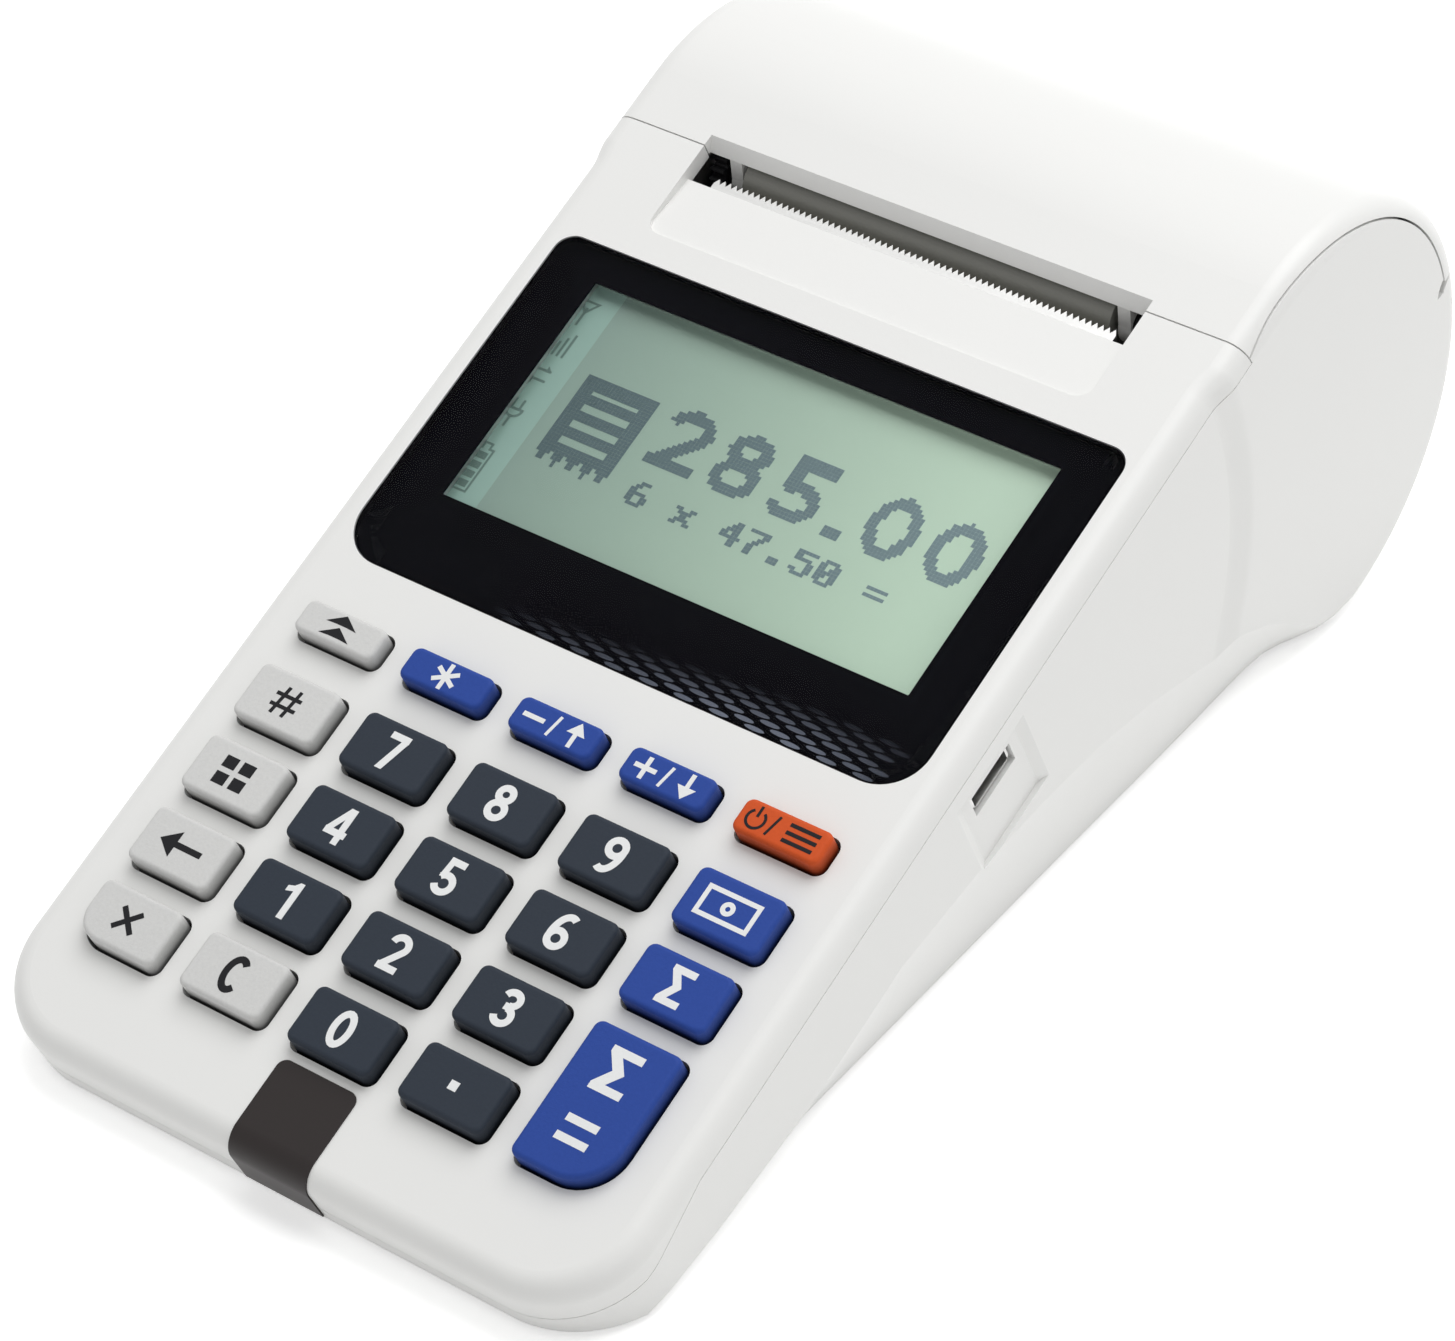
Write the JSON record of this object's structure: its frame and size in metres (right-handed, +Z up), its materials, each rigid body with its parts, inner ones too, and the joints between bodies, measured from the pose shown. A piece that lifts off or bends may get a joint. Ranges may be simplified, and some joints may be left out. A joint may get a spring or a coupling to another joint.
{
  "type": "ticket register",
  "caption": "Handheld electronic till: sloping keypad and display panel in a wedge casing, with a hinged paper drum and serrated receipt slot at the back.",
  "frame": {"origin": "on the table plane under the middle of the body: centre of the bounding box in X and Y, underside of the feet in Z", "axes": "+Y from the keypad to the paper drum at the back, +Z up, +X to the user's right"},
  "size_m": [0.094, 0.1816, 0.0636],
  "materials": {
    "casing_plastic": "satin moulded",
    "window_clear": "polished clear",
    "window_print": "printed black",
    "lcd": "display glass",
    "mat_rubber": "moulded silicone",
    "board": "solder mask",
    "battery": "shrink film",
    "steel": "bright",
    "aluminium": "plain",
    "ceramic": "glazed",
    "black_rubber": "matt",
    "roller_rubber": "ground",
    "gear_plastic": "moulded",
    "label": "printed film",
    "key_grey": "matt grain",
    "key_blue": "matt grain",
    "key_orange": "matt grain",
    "key_dark": "matt grain"
  },
  "bodies": {
    "casing": {"upper_casing": "casing_plastic", "lower_casing": "casing_plastic", "battery_cover": "casing_plastic", "display_window": "window_clear", "window_mask": "window_print", "lcd_frame": "steel", "lcd_glass": "lcd", "keypad_mat": "mat_rubber", "main_board": "board", "usb_socket": "steel", "battery_pack": "battery", "cover_screws": "steel", "casing_screws": "steel", "board_screws": "steel", "rubber_feet": "black_rubber", "front_label": "label", "tear_bar": "steel", "printer_chassis": "steel", "printer_screws": "steel", "thermal_head": "ceramic", "heat_sink": "aluminium", "head_springs": "steel", "feed_motor": "steel", "idler_pin": "steel"},
    "lid": {"paper_lid": "casing_plastic", "hinge_pins": "steel", "platen_bushes": "gear_plastic"},
    "platen": {"platen_shaft": "steel", "platen_rubber": "roller_rubber", "platen_gear": "gear_plastic"},
    "idler": {"idler_gear": "gear_plastic"},
    "pinion": {"motor_pinion": "gear_plastic"},
    "key_feed": {"key_feed": "key_grey"},
    "key_func": {"key_func": "key_blue"},
    "key_minus": {"key_minus": "key_blue"},
    "key_plus": {"key_plus": "key_blue"},
    "key_mode": {"key_mode": "key_orange"},
    "key_plu": {"key_plu": "key_grey"},
    "key_7": {"key_7": "key_dark"},
    "key_8": {"key_8": "key_dark"},
    "key_9": {"key_9": "key_dark"},
    "key_pay": {"key_pay": "key_blue"},
    "key_dept": {"key_dept": "key_grey"},
    "key_4": {"key_4": "key_dark"},
    "key_5": {"key_5": "key_dark"},
    "key_6": {"key_6": "key_dark"},
    "key_subtotal": {"key_subtotal": "key_blue"},
    "key_void": {"key_void": "key_grey"},
    "key_1": {"key_1": "key_dark"},
    "key_2": {"key_2": "key_dark"},
    "key_3": {"key_3": "key_dark"},
    "key_total": {"key_total": "key_blue"},
    "key_quantity": {"key_quantity": "key_grey"},
    "key_clear": {"key_clear": "key_grey"},
    "key_0": {"key_0": "key_dark"},
    "key_point": {"key_point": "key_dark"}
  },
  "joints": [
    {"name": "lid_hinge", "type": "hinge", "parent": "casing", "child": "lid", "pos_m": [0, 0.08771, 0.03809], "axis": [-1, 0, 0], "range_deg": [0, 80]},
    {"name": "platen_spin", "type": "hinge", "parent": "lid", "child": "platen", "pos_m": [0, 0.04424, 0.05313], "axis": [1, 0, 0], "continuous": true},
    {"name": "idler_spin", "type": "hinge", "parent": "casing", "child": "idler", "pos_m": [-0.0316, 0.03957, 0.04386], "axis": [1, 0, 0], "continuous": true},
    {"name": "pinion_spin", "type": "hinge", "parent": "casing", "child": "pinion", "pos_m": [-0.0316, 0.032, 0.03891], "axis": [1, 0, 0], "continuous": true},
    {"name": "press_feed", "type": "slide", "parent": "casing", "child": "key_feed", "axis": [0, 0.3528, -0.9357], "range_m": [0, 0.0012], "stiffness_N_per_m": 400, "springref_m": -0.0006},
    {"name": "press_func", "type": "slide", "parent": "casing", "child": "key_func", "axis": [0, 0.3528, -0.9357], "range_m": [0, 0.0012], "stiffness_N_per_m": 400, "springref_m": -0.0006},
    {"name": "press_minus", "type": "slide", "parent": "casing", "child": "key_minus", "axis": [0, 0.3528, -0.9357], "range_m": [0, 0.0012], "stiffness_N_per_m": 400, "springref_m": -0.0006},
    {"name": "press_plus", "type": "slide", "parent": "casing", "child": "key_plus", "axis": [0, 0.3528, -0.9357], "range_m": [0, 0.0012], "stiffness_N_per_m": 400, "springref_m": -0.0006},
    {"name": "press_mode", "type": "slide", "parent": "casing", "child": "key_mode", "axis": [0, 0.3528, -0.9357], "range_m": [0, 0.0012], "stiffness_N_per_m": 400, "springref_m": -0.0006},
    {"name": "press_plu", "type": "slide", "parent": "casing", "child": "key_plu", "axis": [0, 0.3528, -0.9357], "range_m": [0, 0.0012], "stiffness_N_per_m": 400, "springref_m": -0.0006},
    {"name": "press_7", "type": "slide", "parent": "casing", "child": "key_7", "axis": [0, 0.3528, -0.9357], "range_m": [0, 0.0012], "stiffness_N_per_m": 400, "springref_m": -0.0006},
    {"name": "press_8", "type": "slide", "parent": "casing", "child": "key_8", "axis": [0, 0.3528, -0.9357], "range_m": [0, 0.0012], "stiffness_N_per_m": 400, "springref_m": -0.0006},
    {"name": "press_9", "type": "slide", "parent": "casing", "child": "key_9", "axis": [0, 0.3528, -0.9357], "range_m": [0, 0.0012], "stiffness_N_per_m": 400, "springref_m": -0.0006},
    {"name": "press_pay", "type": "slide", "parent": "casing", "child": "key_pay", "axis": [0, 0.3528, -0.9357], "range_m": [0, 0.0012], "stiffness_N_per_m": 400, "springref_m": -0.0006},
    {"name": "press_dept", "type": "slide", "parent": "casing", "child": "key_dept", "axis": [0, 0.3528, -0.9357], "range_m": [0, 0.0012], "stiffness_N_per_m": 400, "springref_m": -0.0006},
    {"name": "press_4", "type": "slide", "parent": "casing", "child": "key_4", "axis": [0, 0.3528, -0.9357], "range_m": [0, 0.0012], "stiffness_N_per_m": 400, "springref_m": -0.0006},
    {"name": "press_5", "type": "slide", "parent": "casing", "child": "key_5", "axis": [0, 0.3528, -0.9357], "range_m": [0, 0.0012], "stiffness_N_per_m": 400, "springref_m": -0.0006},
    {"name": "press_6", "type": "slide", "parent": "casing", "child": "key_6", "axis": [0, 0.3528, -0.9357], "range_m": [0, 0.0012], "stiffness_N_per_m": 400, "springref_m": -0.0006},
    {"name": "press_subtotal", "type": "slide", "parent": "casing", "child": "key_subtotal", "axis": [0, 0.3528, -0.9357], "range_m": [0, 0.0012], "stiffness_N_per_m": 400, "springref_m": -0.0006},
    {"name": "press_void", "type": "slide", "parent": "casing", "child": "key_void", "axis": [0, 0.3528, -0.9357], "range_m": [0, 0.0012], "stiffness_N_per_m": 400, "springref_m": -0.0006},
    {"name": "press_1", "type": "slide", "parent": "casing", "child": "key_1", "axis": [0, 0.3528, -0.9357], "range_m": [0, 0.0012], "stiffness_N_per_m": 400, "springref_m": -0.0006},
    {"name": "press_2", "type": "slide", "parent": "casing", "child": "key_2", "axis": [0, 0.3528, -0.9357], "range_m": [0, 0.0012], "stiffness_N_per_m": 400, "springref_m": -0.0006},
    {"name": "press_3", "type": "slide", "parent": "casing", "child": "key_3", "axis": [0, 0.3528, -0.9357], "range_m": [0, 0.0012], "stiffness_N_per_m": 400, "springref_m": -0.0006},
    {"name": "press_total", "type": "slide", "parent": "casing", "child": "key_total", "axis": [0, 0.3528, -0.9357], "range_m": [0, 0.0012], "stiffness_N_per_m": 400, "springref_m": -0.0006},
    {"name": "press_quantity", "type": "slide", "parent": "casing", "child": "key_quantity", "axis": [0, 0.3528, -0.9357], "range_m": [0, 0.0012], "stiffness_N_per_m": 400, "springref_m": -0.0006},
    {"name": "press_clear", "type": "slide", "parent": "casing", "child": "key_clear", "axis": [0, 0.3528, -0.9357], "range_m": [0, 0.0012], "stiffness_N_per_m": 400, "springref_m": -0.0006},
    {"name": "press_0", "type": "slide", "parent": "casing", "child": "key_0", "axis": [0, 0.3528, -0.9357], "range_m": [0, 0.0012], "stiffness_N_per_m": 400, "springref_m": -0.0006},
    {"name": "press_point", "type": "slide", "parent": "casing", "child": "key_point", "axis": [0, 0.3528, -0.9357], "range_m": [0, 0.0012], "stiffness_N_per_m": 400, "springref_m": -0.0006}
  ],
  "couplings": [
    {"joint": "idler_spin", "follows": "platen_spin", "ratio": -0.53333},
    {"joint": "pinion_spin", "follows": "platen_spin", "ratio": 1.6}
  ]
}
